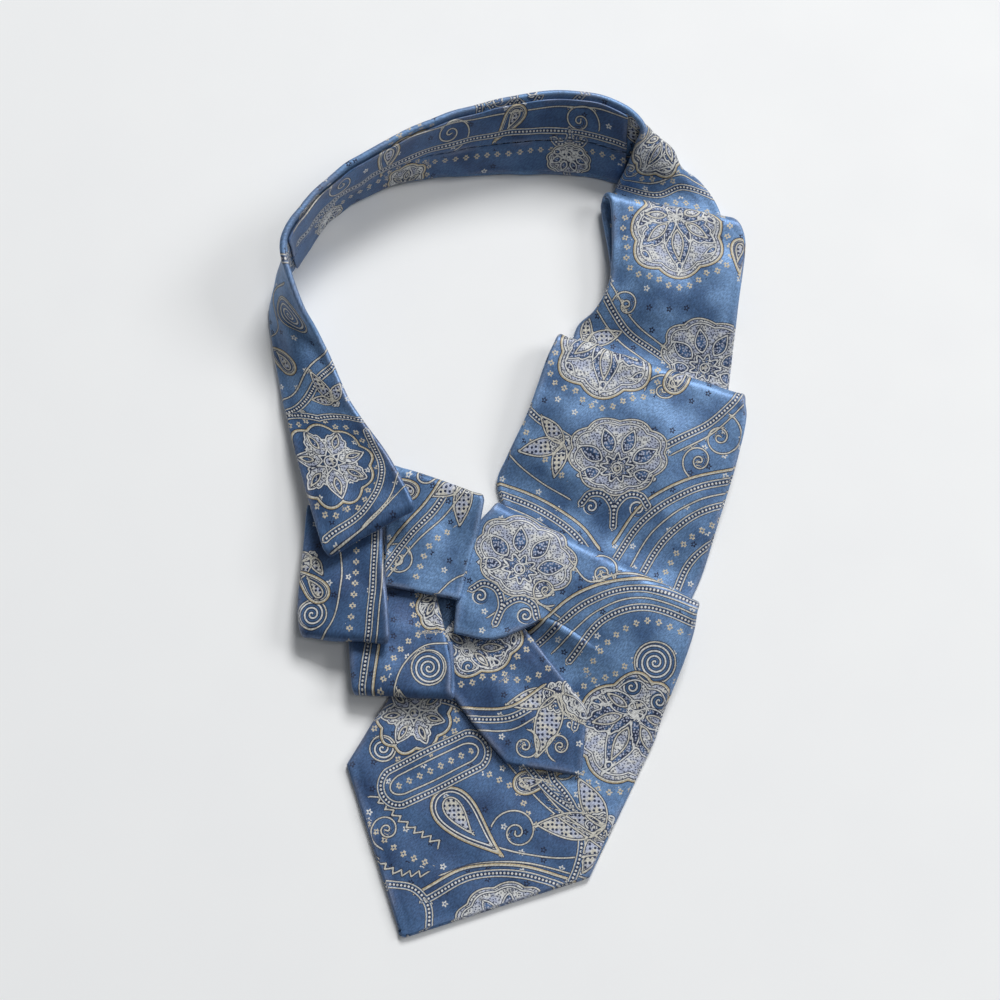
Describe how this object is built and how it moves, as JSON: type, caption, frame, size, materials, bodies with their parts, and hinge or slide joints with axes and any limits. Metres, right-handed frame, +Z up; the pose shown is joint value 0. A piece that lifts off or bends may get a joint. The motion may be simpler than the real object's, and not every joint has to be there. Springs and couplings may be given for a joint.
{
  "type": "silk cravat",
  "caption": "Pleated silk cravat laid flat: a standing neckband, wide pleats down the right to a square point, and narrow pleats on the left.",
  "frame": {"origin": "middle of the laid-out cravat's box, on the table it lies on", "axes": "+X to the cravat's wide half, +Y from the point to the nape, +Z up from the table"},
  "size_m": [0.1842, 0.3172, 0.0311],
  "materials": {
    "silk": "figured satin silk, soft sheen",
    "silk_folded_edge": "figured satin silk, soft sheen"
  },
  "bodies": {
    "root": {"left_front": "silk", "neckband": "silk", "right_shoulder": "silk", "upper_pleat": "silk", "middle_pleat": "silk", "wide_end": "silk", "left_upper_pleat": "silk", "left_lower_pleat": "silk", "crossover": "silk", "narrow_end": "silk", "neckband_lower_flap": "silk_folded_edge", "neckband_upper_flap": "silk_folded_edge"}
  },
  "joints": []
}
